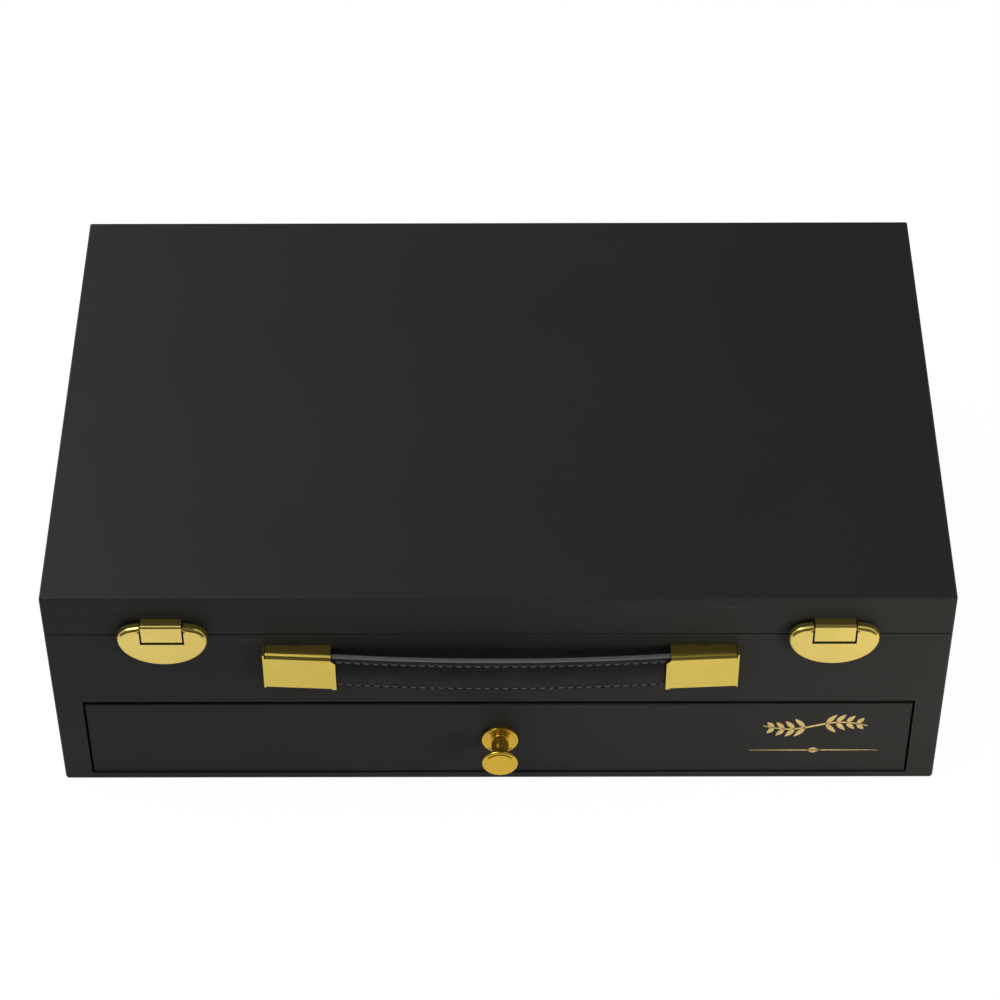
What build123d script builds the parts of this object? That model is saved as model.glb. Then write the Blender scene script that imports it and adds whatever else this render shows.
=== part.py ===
from build123d import *
from math import asin, atan2, cos, degrees
import os

# Oil paint box set: a black lacquered wooden case with a hinged lid over a tube tray and a drawer below.
# Millimetres, +Z up. The origin is the centre of the case's flat underside, and the front faces -Y.

# Case
case_width = 420.0
case_depth = 263.0
case_height = 129.5
lid_height = 24.2
seam_gap = 0.4
board = 10.0
lid_panel_thickness = 6.0
lining_thickness = 1.0
bottom_thickness = 5.3
bottom_edge_radius = 3.0
top_edge_chamfer = 0.6
seam_edge_chamfer = 0.3

# Drawer bay and deck
opening_side_border = 13.0
drawer_front_height = 49.2
drawer_top_gap = 3.2
drawer_bottom_gap = 0.4
drawer_side_gap = 0.9
drawer_recess = 0.8
drawer_edge_radius = 0.5
drawer_front_thickness = 9.0
drawer_board = 6.0
drawer_side_height = 43.0
drawer_panel = 3.0
drawer_panel_lift = 3.0
drawer_back_gap = 12.0
deck_thickness = 4.0
deck_clearance = 1.0
guide_height = 14.0
stop_block_size = 12.0
stop_block_from_side = 24.0
slide_clearance = 0.3
groove_depth = 3.0

# Knob
knob_above_middle = 0.2
knob_from_middle = 0.6
knob_disc_diameter = 17.0
knob_face_diameter = 13.6
knob_projection = 16.9
knob_disc_thickness = 2.9
knob_rim_radius = 0.8
knob_step = 0.45
knob_neck_diameter = 6.0
knob_belly_diameter = 8.6
knob_belly_from_foot = 2.4
knob_foot_diameter = 8.4
knob_foot_height = 1.0
rosette_diameter = 17.5
rosette_thickness = 2.0
rosette_rim_width = 0.9
rosette_edge_radius = 0.4
rosette_seat = 1.2
knob_screw_diameter = 4.0
knob_screw_head_diameter = 8.0
knob_screw_head_height = 2.6
knob_screw_grip = 9.0

# Butt hinges
hinge_from_side = 80.0
hinge_width = 50.0
hinge_leaf_thickness = 1.2
hinge_leaf_reach = 8.5
knuckle_radius = 2.4
knuckle_standoff = 0.2
knuckle_count = 5
knuckle_gap = 0.2
hinge_pin_radius = 1.2
pin_clearance = 0.05
leaf_gap = 0.2
hinge_screw_spacing = 17.0
hinge_screw_inset = 4.7

# Small wood screws
small_screw_diameter = 2.0
small_screw_length = 8.0
small_screw_head_diameter = 3.8
small_screw_head_height = 1.0

# Latches
latch_from_side = 55.0
latch_half_width = 20.9
latch_upper_height = 9.6
latch_corner_radius = 8.0
latch_lower_height = 16.7
latch_middle_above_seam = 1.0
latch_projection = 5.2
latch_shell_depth = 3.8
latch_sheet = 1.0
latch_edge_radius = 1.8
window_width = 20.5
window_below_seam = 1.2
window_notch = 0.8
tab_width = 18.7
tab_below_seam = -0.5
tab_above_seam = 10.9
latch_pin_above_seam = 7.4
latch_pin_projection = 3.2
latch_pin_radius = 0.8
bracket_plate_thickness = 0.8
bracket_bend_radius = 1.2
strike_width = 14.0
strike_height = 10.0
strike_below_seam = 2.0
strike_thickness = 0.7
strike_ridge_radius = 1.2
strike_screw_spacing = 8.0
strike_screw_margin = 0.4
catch_clearance = 0.4
catch_width = 10.0
catch_thickness = 1.2

# Handle
handle_cap_spacing = 189.2
handle_from_middle = 1.2
handle_cap_width = 31.7
handle_cap_height = 22.1
handle_cap_below_seam = 7.2
cap_mouth_projection = 8.3
cap_end_projection = 6.7
handle_cap_sheet = 0.8
cap_upper_bend_radius = 2.5
cap_lower_bend_radius = 1.0
cap_end_slit = 0.4
cap_lip = 2.0
strap_width = 19.8
strap_thickness = 2.9
strap_standoff = 4.2
strap_bulge = 3.0
strap_edge_radius = 0.7
strap_end_gap = 0.3
strap_end_length = 26.0
strap_stud_radius = 2.0
strap_slot_length = 10.0
strap_slot_clearance = 0.3
strap_stud_from_mouth = 16.0
cap_screw_spacing = 14.0

# Lid stay
stay_radius = 75.0
stay_rise = 8.5
stay_link_width = 8.0
stay_link_thickness = 1.2
stay_gap = 0.4
stay_rivet_radius = 1.6
stay_rivet_clearance = 0.1
stay_head_radius = 3.0
stay_head_height = 0.8
stay_rivet_depth = 5.0

# Tube tray in the upper bay
tray_clearance = 5.5
tray_end_clearance = 1.0
tray_height = 27.0
tray_wall = 4.0
tray_floor = 2.0
tray_divider = 3.0
tube_columns = 8
tube_rows = 2
tube_pitch = 31.5

# Paint tubes
tube_radius = 11.5
tube_end_clearance = 10.0
tube_crimp_width = 27.0
tube_crimp_thickness = 2.0
tube_crimp_length = 6.0
tube_shoulder_length = 4.0
tube_neck_radius = 4.5
tube_neck_length = 5.0
tube_collar_width = 1.0
tube_cap_radius = 7.0
tube_cap_length = 13.0

# Bottles of oil and spirit
bottle_radius = 18.0
bottle_body_length = 70.0
bottle_shoulder_length = 8.0
bottle_neck_radius = 8.0
bottle_neck_length = 8.0
bottle_cap_radius = 10.5
bottle_cap_length = 14.0
bottle_pitch = 46.0
bottle_end_gap = 8.0
bottle_foot_radius = 2.7

# Palette
palette_thickness = 3.0
palette_margin = 1.5
palette_corner_radius = 40.0
palette_thumb_radius = 14.0
palette_thumb_inset = 42.0

# Brushes and palette knife in the drawer
divider_thickness = 4.0
divider_height = 30.0
brush_bay_depth = 80.0
end_bay_width = 110.0
brush_count = 3
brush_spacing = 22.0
first_brush_from_front = 14.7
brush_from_side = 22.0
brush_handle_radius = 4.0
brush_handle_tip_radius = 1.5
brush_handle_length = 220.0
brush_ferrule_radius = 3.2
brush_ferrule_length = 30.0
brush_hair_length = 24.0
brush_hair_thickness = 2.0
brush_hair_width = 9.0
brush_tip_width = 6.3
brush_tip_thickness = 1.4
knife_handle_length = 100.0
knife_handle_radius = 6.0
knife_handle_end_radius = 3.6
knife_shank_length = 36.0
knife_shank_radius = 1.8
knife_blade_length = 62.0
knife_blade_straight = 34.0
knife_blade_heel = 6.7
knife_blade_width = 20.0
knife_blade_thickness = 0.8
knife_from_divider = 18.0
rest_gap = 0.2

# Planes and heights worked out from the sizes above
front_y = -case_depth / 2
back_y = case_depth / 2
side_x = case_width / 2
inner_x = side_x - board
inner_y = back_y - board
seam_z = case_height - lid_height
base_top = seam_z - seam_gap / 2
lid_bottom = seam_z + seam_gap / 2
lid_ceiling = case_height - lid_panel_thickness
opening_half = side_x - opening_side_border
drawer_half = opening_half - drawer_side_gap
drawer_bottom_z = bottom_thickness + drawer_bottom_gap
drawer_top_z = drawer_bottom_z + drawer_front_height
opening_top = drawer_top_z + drawer_top_gap
deck_bottom = opening_top + deck_clearance
deck_top = deck_bottom + deck_thickness
drawer_face_y = front_y + drawer_recess
drawer_box_y = drawer_face_y + drawer_front_thickness
drawer_back_y = inner_y - drawer_back_gap
drawer_floor_z = bottom_thickness + slide_clearance
hinge_axis_y = back_y + knuckle_standoff + knuckle_radius
latch_mid_z = seam_z + latch_middle_above_seam
latch_pin_z = seam_z + latch_pin_above_seam
latch_x = side_x - latch_from_side
hinge_x = side_x - hinge_from_side
cap_mouth = (handle_cap_spacing - handle_cap_width) / 2
cap_end = cap_mouth + handle_cap_width
cap_top_z = seam_z - handle_cap_below_seam
cap_bottom_z = cap_top_z - handle_cap_height
cap_mid_z = (cap_top_z + cap_bottom_z) / 2
cap_flare = (cap_mouth_projection - cap_end_projection) / handle_cap_width
strap_joint_x = cap_mouth - cap_lip - strap_end_gap
knob_z = (drawer_bottom_z + drawer_top_z) / 2 + knob_above_middle


def block(x0, x1, y0, y1, z0, z1):
    """A box between two corners."""
    size = Box(x1 - x0, y1 - y0, z1 - z0)
    return Pos((x0 + x1) / 2, (y0 + y1) / 2, (z0 + z1) / 2) * size


def rod_x(radius, x0, x1, y, z):
    """A round bar along X."""
    return Pos((x0 + x1) / 2, y, z) * Rot(0, 90, 0) * Cylinder(radius, abs(x1 - x0))


def rod_y(radius, y0, y1, x, z):
    """A round bar along Y."""
    return Pos(x, (y0 + y1) / 2, z) * Rot(90, 0, 0) * Cylinder(radius, abs(y1 - y0))


def rod_z(radius, z0, z1, x, y):
    """A round bar along Z."""
    return Pos(x, y, (z0 + z1) / 2) * Cylinder(radius, abs(z1 - z0))


def front_sheet(sketch, proud_back, proud_front):
    """A flat outline, drawn as seen from the front, as a sheet that stands out of the front wall."""
    plane = Plane(origin=(0, front_y - proud_back, 0), x_dir=(1, 0, 0), z_dir=(0, -1, 0))
    return extrude(plane * sketch, proud_front - proud_back)


def mirror_x(shape):
    """The same piece on the other side of the case."""
    return mirror(shape, about=Plane.YZ)


def join(*shapes):
    """Several shapes as one solid."""
    first, *rest = shapes
    for shape in rest:
        first = first + shape
    return first


def cut(shape, *tools):
    """A shape less each of the tools."""
    for tool in tools:
        shape = shape - tool
    return shape


# Screws

def wood_screw():
    """A countersunk screw along -Z, with its flat head's top at the origin."""
    radius = small_screw_diameter / 2
    head = Pos(0, 0, -small_screw_head_height / 2) * Cone(
        radius, small_screw_head_diameter / 2, small_screw_head_height)
    shank_length = small_screw_length - small_screw_head_height
    shank = Pos(0, 0, -small_screw_head_height - shank_length / 2) * Cylinder(radius, shank_length)
    slot = Box(small_screw_head_diameter, small_screw_diameter / 4, small_screw_head_height / 2)
    return head + shank - slot


def screw_into_front(x, z, proud):
    """A screw driven into the front, with its head's top flush at a distance out of the wall."""
    return Pos(x, front_y - proud, z) * Rot(90, 0, 0) * wood_screw()


# Case boards

def base_envelope():
    """The outer form of the base, with its rounded lower edges."""
    form = block(-side_x, side_x, front_y, back_y, 0, base_top)
    form = fillet(form.faces().sort_by(Axis.Z)[0].edges(), bottom_edge_radius)
    form = chamfer(form.edges().filter_by(Axis.Z), top_edge_chamfer)
    return chamfer(form.faces().sort_by(Axis.Z)[-1].edges(), seam_edge_chamfer)


def lid_envelope():
    """The outer form of the lid, with its sharp but broken upper edges."""
    form = block(-side_x, side_x, front_y, back_y, lid_bottom, case_height)
    form = chamfer(form.edges().filter_by(Axis.Z), top_edge_chamfer)
    form = chamfer(form.faces().sort_by(Axis.Z)[-1].edges(), top_edge_chamfer)
    return chamfer(form.faces().sort_by(Axis.Z)[0].edges(), seam_edge_chamfer)


def bottom_board():
    """The bottom board, between the four walls."""
    return block(-inner_x, inner_x, -inner_y, inner_y, 0, bottom_thickness)


def deck_board():
    """The deck between the upper bay and the drawer, let into grooves in the walls."""
    reach_x = inner_x + groove_depth
    reach_y = inner_y + groove_depth
    return block(-reach_x, reach_x, -reach_y, reach_y, deck_bottom, deck_top)


def drawer_opening():
    """The opening in the front board."""
    return block(-opening_half, opening_half, front_y - 1, -inner_y + 1, bottom_thickness, opening_top)


def base_boards():
    """The four walls of the base."""
    form = base_envelope()
    raw = {
        "base_front_board": block(-side_x, side_x, front_y, -inner_y, 0, base_top),
        "base_back_board": block(-side_x, side_x, inner_y, back_y, 0, base_top),
        "base_left_board": block(-side_x, -inner_x, -inner_y, inner_y, 0, base_top),
        "base_right_board": block(inner_x, side_x, -inner_y, inner_y, 0, base_top),
    }
    deck = deck_board()
    boards = {name: (shape & form) - deck for name, shape in raw.items()}
    boards["base_front_board"] = boards["base_front_board"] - drawer_opening()
    return boards


def lid_boards():
    """The lid's top panel and its four walls."""
    form = lid_envelope()
    raw = {
        "lid_top_panel": block(-side_x, side_x, front_y, back_y, lid_ceiling, case_height),
        "lid_front_board": block(-side_x, side_x, front_y, -inner_y, lid_bottom, lid_ceiling),
        "lid_back_board": block(-side_x, side_x, inner_y, back_y, lid_bottom, lid_ceiling),
        "lid_left_board": block(-side_x, -inner_x, -inner_y, inner_y, lid_bottom, lid_ceiling),
        "lid_right_board": block(inner_x, side_x, -inner_y, inner_y, lid_bottom, lid_ceiling),
    }
    return {name: shape & form for name, shape in raw.items()}


def lid_lining():
    """The lining sheet under the lid's top panel."""
    return block(-inner_x, inner_x, -inner_y, inner_y, lid_ceiling - lining_thickness, lid_ceiling)


def drawer_guide_strips():
    """Two strips along the side walls that the drawer runs between."""
    strip = block(opening_half, inner_x, -inner_y, inner_y, bottom_thickness, bottom_thickness + guide_height)
    return [strip, mirror_x(strip)]


def drawer_stop_blocks():
    """Two blocks behind the drawer that stop it with its front just inside the case."""
    x = opening_half - stop_block_from_side - stop_block_size
    stop_y = drawer_back_y + slide_clearance
    stop = block(x, x + stop_block_size, stop_y, inner_y,
                 bottom_thickness, bottom_thickness + stop_block_size)
    return [stop, mirror_x(stop)]


# Drawer

def drawer_boards():
    """The drawer's front, sides, back, floor and dividers."""
    side_top = drawer_floor_z + drawer_side_height
    side_inner = drawer_half - drawer_board
    groove = drawer_board / 2
    panel_z = drawer_floor_z + drawer_panel_lift
    back_inner = drawer_back_y - drawer_board
    panel = block(-side_inner - groove, side_inner + groove,
                  drawer_box_y, back_inner + groove, panel_z, panel_z + drawer_panel)
    front = block(-drawer_half, drawer_half, drawer_face_y, drawer_box_y, drawer_bottom_z, drawer_top_z)
    front = fillet(front.faces().sort_by(Axis.Y)[0].edges(), drawer_edge_radius)
    right = block(side_inner, drawer_half, drawer_box_y, drawer_back_y, drawer_floor_z, side_top)
    back = block(-side_inner, side_inner, back_inner, drawer_back_y, drawer_floor_z, side_top)
    floor_top = panel_z + drawer_panel
    long_y = drawer_box_y + brush_bay_depth
    long_divider = block(-side_inner, side_inner, long_y, long_y + divider_thickness,
                         floor_top, floor_top + divider_height)
    cross_x = side_inner - end_bay_width
    cross_divider = block(cross_x, cross_x + divider_thickness, long_y + divider_thickness, back_inner,
                          floor_top, floor_top + divider_height)
    return {
        "drawer_front": front,
        "drawer_right_side": right - panel,
        "drawer_left_side": mirror_x(right - panel),
        "drawer_back": back - panel,
        "drawer_floor": panel,
        "drawer_long_divider": long_divider,
        "drawer_cross_divider": cross_divider,
    }


def knob_lathe(lines):
    """A solid turned about the knob's axis, from lines drawn as radius against distance outwards."""
    turned = revolve(Plane.XY * make_face(lines), Axis.Y)
    return Pos(knob_from_middle, drawer_face_y, knob_z) * Rot(180, 0, 0) * turned


def bead(radius, low, high):
    """A half-round bead on a turned outline, standing out from a radius."""
    return ThreePointArc((radius, low), (radius + (high - low) / 2, (low + high) / 2), (radius, high))


def knob_rosette():
    """The dished disc behind the knob, with a rounded rim."""
    outer = rosette_diameter / 2
    bore = knob_screw_diameter / 2
    round_start = rosette_thickness - 2 * rosette_edge_radius
    rim_inner = outer - rosette_rim_width
    seat = knob_foot_diameter / 2
    return knob_lathe([
        Line((bore, 0), (outer - rosette_edge_radius, 0)),
        Line((outer - rosette_edge_radius, 0), (outer - rosette_edge_radius, round_start)),
        bead(outer - rosette_edge_radius, round_start, rosette_thickness),
        Line((outer - rosette_edge_radius, rosette_thickness), (rim_inner, rosette_thickness)),
        Spline((rim_inner, rosette_thickness), (seat, rosette_seat), tangents=((-1, -1), (-1, 0))),
        Line((seat, rosette_seat), (bore, rosette_seat)),
        Line((bore, rosette_seat), (bore, 0)),
    ])


def drawer_knob():
    """The knob: a foot bead, a bellied neck and a disc whose flat face stands inside a rounded rim."""
    disc = knob_disc_diameter / 2
    face = knob_face_diameter / 2
    neck = knob_neck_diameter / 2
    belly = knob_belly_diameter / 2
    foot = knob_foot_diameter / 2
    bore = knob_screw_diameter / 2
    bore_end = rosette_seat + knob_screw_grip
    foot_top = rosette_seat + knob_foot_height
    belly_at = foot_top + knob_belly_from_foot
    disc_back = knob_projection - knob_disc_thickness
    step = knob_projection - knob_step
    foot_side = foot - knob_foot_height / 2
    rim_side = disc - knob_rim_radius
    rim_back = step - 2 * knob_rim_radius
    waist_at = (belly_at + disc_back) / 2 + knob_foot_height
    return knob_lathe([
        Line((bore, rosette_seat), (foot_side, rosette_seat)),
        bead(foot_side, rosette_seat, foot_top),
        Spline((foot_side, foot_top), (belly, belly_at), (neck, waist_at), (rim_side, rim_back),
               tangents=((1, 1), (1, 0.4))),
        bead(rim_side, rim_back, step),
        Line((rim_side, step), (face + knob_step, step)),
        Line((face + knob_step, step), (face, knob_projection)),
        Line((face, knob_projection), (0, knob_projection)),
        Line((0, knob_projection), (0, bore_end)),
        Line((0, bore_end), (bore, bore_end)),
        Line((bore, bore_end), (bore, rosette_seat)),
    ])


def knob_screw():
    """The screw that holds the knob from inside the drawer."""
    start_y = drawer_face_y - rosette_seat - knob_screw_grip
    shank = rod_y(knob_screw_diameter / 2, start_y, drawer_box_y, 0, knob_z)
    head_end = drawer_box_y + knob_screw_head_height
    head = rod_y(knob_screw_head_diameter / 2, drawer_box_y, head_end, 0, knob_z)
    slot_half = knob_screw_diameter / 8
    slot = block(-knob_screw_head_diameter / 2, knob_screw_head_diameter / 2,
                 head_end - knob_screw_head_height / 3, head_end, knob_z - slot_half, knob_z + slot_half)
    return Pos(knob_from_middle, 0, 0) * (shank + head - slot)


# Hinges

def knuckle_spans(own):
    """The X ranges of one leaf's knuckles, counted from the hinge's middle."""
    pitch = hinge_width / knuckle_count
    spans = []
    for index in range(knuckle_count):
        is_base = index % 2 == 0
        if is_base == own:
            left = -hinge_width / 2 + index * pitch
            spans.append((left + knuckle_gap / 2, left + pitch - knuckle_gap / 2))
    return spans


def hinge_leaf(x, for_base):
    """One leaf of a butt hinge, lying in its seat in the seam, with its knuckles behind the case."""
    side = -1 if for_base else 1
    near = seam_z + side * leaf_gap / 2
    far = near + side * hinge_leaf_thickness
    low = min(near, far)
    high = max(near, far)
    half = hinge_width / 2
    leaf = block(x - half, x + half, back_y - hinge_leaf_reach, back_y, low, high)
    for start, end in knuckle_spans(for_base):
        neck = block(x + start, x + end, back_y, hinge_axis_y, low, high)
        knuckle = rod_x(knuckle_radius, x + start, x + end, hinge_axis_y, seam_z)
        leaf = leaf + neck + knuckle
    bore = rod_x(hinge_pin_radius + pin_clearance, x - half, x + half, hinge_axis_y, seam_z)
    return cut(leaf, bore, *hinge_screws(x, for_base))


def hinge_screws(x, for_base):
    """The three screws of one leaf, driven square to the seam."""
    side = -1 if for_base else 1
    top = seam_z + side * leaf_gap / 2
    y = back_y - hinge_screw_inset
    turn = Rot(0, 0, 0) if for_base else Rot(180, 0, 0)
    places = [x + offset * hinge_screw_spacing for offset in (-1, 0, 1)]
    return [Pos(place, y, top) * turn * wood_screw() for place in places]


def hinge_seat(x, for_base):
    """The seat that a leaf lies in."""
    half = hinge_width / 2
    depth = hinge_leaf_thickness + leaf_gap / 2
    low = seam_z - depth if for_base else seam_z
    return block(x - half, x + half, back_y - hinge_leaf_reach, back_y + 1, low, low + depth)


def hinge_pin(x):
    """The pin through one hinge's knuckles."""
    half = hinge_width / 2
    return rod_x(hinge_pin_radius, x - half, x + half, hinge_axis_y, seam_z)


# Latches

def latch_outline(shrink=0.0):
    """The lever's oval outline, seen from the front: an ellipse below and a three-centred arch above."""
    half = latch_half_width - shrink
    upper = latch_upper_height - shrink
    lower = latch_lower_height - shrink
    corner = latch_corner_radius - shrink
    corner_x = half - corner
    crown = (corner_x ** 2 + upper ** 2 - corner ** 2) / (2 * (upper - corner))
    turn = degrees(atan2(crown - upper, corner_x))
    right = CenterArc((corner_x, 0), corner, 0, turn)
    middle = CenterArc((0, upper - crown), crown, turn, 180 - 2 * turn)
    left = CenterArc((-corner_x, 0), corner, 180 - turn, turn)
    bottom = EllipticalCenterArc((0, 0), half, lower, start_angle=180, arc_size=180)
    return Pos(0, latch_mid_z) * make_face([right, middle, left, bottom])


def latch_lever():
    """The oval lever: a shallow pressed shell with a window for the tab, two ears and a catch."""
    back = latch_projection - latch_shell_depth
    shell = front_sheet(latch_outline(), back, latch_projection)
    shell = fillet(shell.faces().sort_by(Axis.Y)[0].edges(), latch_edge_radius)
    hollow = front_sheet(latch_outline(latch_sheet), back - 1, latch_projection - latch_sheet)
    window_low = seam_z - window_below_seam
    window = block(-window_width / 2, window_width / 2, front_y - latch_projection - 1, front_y,
                   window_low, case_height)
    notches = block(-window_width / 2 - window_notch, window_width / 2 + window_notch,
                    front_y - latch_projection - 1, front_y - latch_projection + latch_sheet / 2,
                    latch_pin_z - window_notch, latch_pin_z + window_notch)
    shell = cut(shell, hollow, window, notches)
    reach = latch_pin_radius + latch_sheet
    ear = block(window_width / 2, window_width / 2 + latch_sheet,
                front_y - latch_projection + latch_sheet / 2, front_y - back,
                latch_pin_z - reach, latch_pin_z + reach / 2)
    ear_side = window_width / 2 + latch_sheet + pin_clearance
    pin_hole = rod_x(latch_pin_radius + pin_clearance, -ear_side, ear_side,
                     front_y - latch_pin_projection, latch_pin_z)
    ridge_z = seam_z - strike_below_seam - strike_height / 2
    catch_low = ridge_z - strike_ridge_radius - catch_clearance - catch_thickness
    catch_back = strike_thickness + strike_ridge_radius + catch_clearance
    catch = block(-catch_width / 2, catch_width / 2, front_y - latch_projection + latch_sheet / 2,
                  front_y - catch_back, catch_low, catch_low + catch_thickness)
    return cut(join(shell, ear, mirror_x(ear), catch), pin_hole)


def latch_bracket():
    """The folded bracket on the lid: a plate on the wall, a leg out from it and the tab in front."""
    top = seam_z + tab_above_seam
    low = seam_z - tab_below_seam
    half = tab_width / 2
    face_back = latch_projection - latch_sheet
    leg = block(-half, half, front_y - latch_projection, front_y, top - latch_sheet, top)
    tab = block(-half, half, front_y - latch_projection, front_y - face_back, low, top)
    folded = leg + tab
    bend = folded.edges().filter_by(Axis.X).sort_by(Axis.Y)[:2].sort_by(Axis.Z)[-1]
    folded = fillet(bend, bracket_bend_radius)
    plate = block(-half, half, front_y - bracket_plate_thickness, front_y, low, top)
    cheek = block(half - latch_sheet, half, front_y - face_back, front_y,
                  latch_pin_z - latch_pin_radius - latch_sheet, top - latch_sheet)
    pin_hole = rod_x(latch_pin_radius, -half - 1, half + 1, front_y - latch_pin_projection, latch_pin_z)
    return cut(join(folded, plate, cheek, mirror_x(cheek)), pin_hole, *bracket_screws())


def bracket_screws():
    """The two screws through the bracket's plate into the lid."""
    z = (seam_z - tab_below_seam + latch_pin_z) / 2 - latch_pin_radius
    return [screw_into_front(x, z, bracket_plate_thickness)
            for x in (-tab_width / 4, tab_width / 4)]


def latch_pin():
    """The pin that the lever turns on."""
    half = window_width / 2 + latch_sheet
    return rod_x(latch_pin_radius, -half, half, front_y - latch_pin_projection, latch_pin_z)


def latch_strike():
    """The strike plate on the base, with the ridge that the lever's catch snaps over."""
    high = seam_z - strike_below_seam
    low = high - strike_height
    half = strike_width / 2
    plate = block(-half, half, front_y - strike_thickness, front_y, low, high)
    ridge = rod_x(strike_ridge_radius, -half, half, front_y - strike_thickness, (low + high) / 2)
    ridge = ridge & block(-half, half, front_y - 2 * strike_thickness - strike_ridge_radius, front_y,
                          low, high)
    return cut(plate + ridge, *strike_screws())


def strike_screws():
    """The two screws through the strike plate, above its ridge."""
    z = seam_z - strike_below_seam - small_screw_head_diameter / 2 - strike_screw_margin
    return [screw_into_front(x, z, strike_thickness)
            for x in (-strike_screw_spacing / 2, strike_screw_spacing / 2)]


# Handle

def cap_plan(x0, x1, back, inset):
    """A cap's outline seen from above, from one X to another, its face set back by an inset."""
    def face_y(x):
        return front_y - cap_mouth_projection + cap_flare * (x - cap_mouth) + inset
    corners = [(x0, back), (x1, back), (x1, face_y(x1)), (x0, face_y(x0))]
    return make_face(Polyline(*corners, close=True))


def handle_cap():
    """The folded brass cap over the strap's right end, open towards the strap and flared at its mouth."""
    sheet = handle_cap_sheet
    low = cap_bottom_z
    high = cap_top_z
    outer = extrude(Pos(0, 0, low) * cap_plan(cap_mouth, cap_end, front_y, 0), high - low)
    face = outer.faces().sort_by(Axis.Y)[0]
    outer = fillet(face.edges().sort_by(Axis.Z)[-1], cap_upper_bend_radius)
    lower = outer.edges().filter_by(lambda edge: edge.center().Z < low + sheet / 2).sort_by(Axis.Y)[0]
    outer = fillet(lower, cap_lower_bend_radius)
    end_plate = extrude(Pos(0, 0, low) * cap_plan(cap_end - sheet, cap_end, front_y, 0), high - low)
    hollow_plan = cap_plan(cap_mouth - 1, cap_end - sheet, front_y - sheet, sheet)
    inside = extrude(Pos(0, 0, low + sheet) * hollow_plan, high - low - 2 * sheet)
    inner_face = inside.faces().sort_by(Axis.Y)[0]
    inside = fillet(inner_face.edges().sort_by(Axis.Z)[-1], cap_upper_bend_radius - sheet)
    slit = block(cap_end - sheet - cap_end_slit, cap_end - sheet,
                 front_y - cap_end_projection - 1, front_y, high - cap_upper_bend_radius, high)
    lip_top = high - cap_upper_bend_radius
    lip_outline = Polyline((cap_mouth, low), (cap_mouth - cap_lip, low),
                           (cap_mouth - cap_lip, lip_top - cap_lip), (cap_mouth, lip_top), close=True)
    lip = front_sheet(make_face(lip_outline), 0, cap_mouth_projection + 1)
    lip_sheet = cap_plan(cap_mouth - cap_lip, cap_mouth, front_y, 0) - cap_plan(
        cap_mouth - cap_lip, cap_mouth, front_y, sheet)
    lip = lip & extrude(Pos(0, 0, low) * lip_sheet, high - low)
    notch = rod_z(sheet, high - sheet, high, (cap_mouth + cap_end) / 2, front_y)
    return cut(join(cut(outer, slit), end_plate, lip), inside, notch, *cap_screws(), cap_stud())


def cap_screws():
    """The two screws through the cap's back plate into the case."""
    x = cap_mouth + handle_cap_width / 2
    offsets = (-cap_screw_spacing / 2, cap_screw_spacing / 2)
    return [screw_into_front(x + offset, cap_mid_z - strap_width / 4, handle_cap_sheet)
            for offset in offsets]


def cap_stud():
    """The stud across the cap that the strap's slot slides on."""
    x = cap_mouth + strap_stud_from_mouth
    face = cap_mouth_projection - cap_flare * strap_stud_from_mouth
    return rod_y(strap_stud_radius, front_y - face + handle_cap_sheet / 2,
                 front_y - handle_cap_sheet / 2, x, cap_mid_z)


def strap_end():
    """The strap's end inside the right cap, in line with its face and slotted for the stud."""
    low = cap_mid_z - strap_width / 2
    back = cap_mouth_projection - strap_standoff
    x0 = strap_joint_x + strap_end_gap
    x1 = cap_mouth + strap_end_length
    end = extrude(Pos(0, 0, low) * (cap_plan(x0, x1, front_y, back - strap_thickness)
                                    - cap_plan(x0, x1, front_y, back)), strap_width)
    long_edges = [edge for edge in end.edges() if edge.length > strap_width]
    end = fillet(long_edges, strap_edge_radius)
    stud_x = cap_mouth + strap_stud_from_mouth
    half = strap_slot_length / 2 - strap_stud_radius
    radius = strap_stud_radius + strap_slot_clearance
    deep = front_y - cap_mouth_projection
    slot = block(stud_x - half, stud_x + half, deep, front_y, cap_mid_z - radius, cap_mid_z + radius)
    rounds = [rod_y(radius, deep, front_y, stud_x + side * half, cap_mid_z) for side in (-1, 1)]
    return cut(end, slot, *rounds)


def handle_pair(shape):
    """A piece of the handle's right end and its mirror image at the left end, both in place."""
    place = Pos(handle_from_middle, 0, 0)
    return [place * shape, place * mirror_x(shape)]


def handle_strap():
    """The strap between the caps, bowed out of the wall."""
    half = strap_joint_x
    back = front_y - strap_standoff
    middle = back - strap_bulge
    front = back - strap_thickness
    inner = ThreePointArc((-half, back), (0, middle), (half, back))
    right = Line((half, back), (half, front))
    outer = ThreePointArc((half, front), (0, middle - strap_thickness), (-half, front))
    left = Line((-half, front), (-half, back))
    outline = make_face([inner, right, outer, left])
    low = cap_mid_z - strap_width / 2
    strap = extrude(Pos(0, 0, low) * outline, strap_width)
    long_edges = strap.edges().filter_by(GeomType.CIRCLE)
    return Pos(handle_from_middle, 0, 0) * fillet(long_edges, strap_edge_radius)


# Lid stay: two equal links, each as long as its pivot's distance from the hinge

stay_half_angle = asin(stay_rise / stay_radius)
stay_pivot_y = hinge_axis_y - stay_radius * cos(stay_half_angle)
stay_elbow_y = hinge_axis_y - 2 * stay_radius * cos(stay_half_angle)
stay_base_x = inner_x - stay_head_height - 2 * stay_gap
stay_lid_x = stay_base_x - stay_link_thickness - stay_gap


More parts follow.
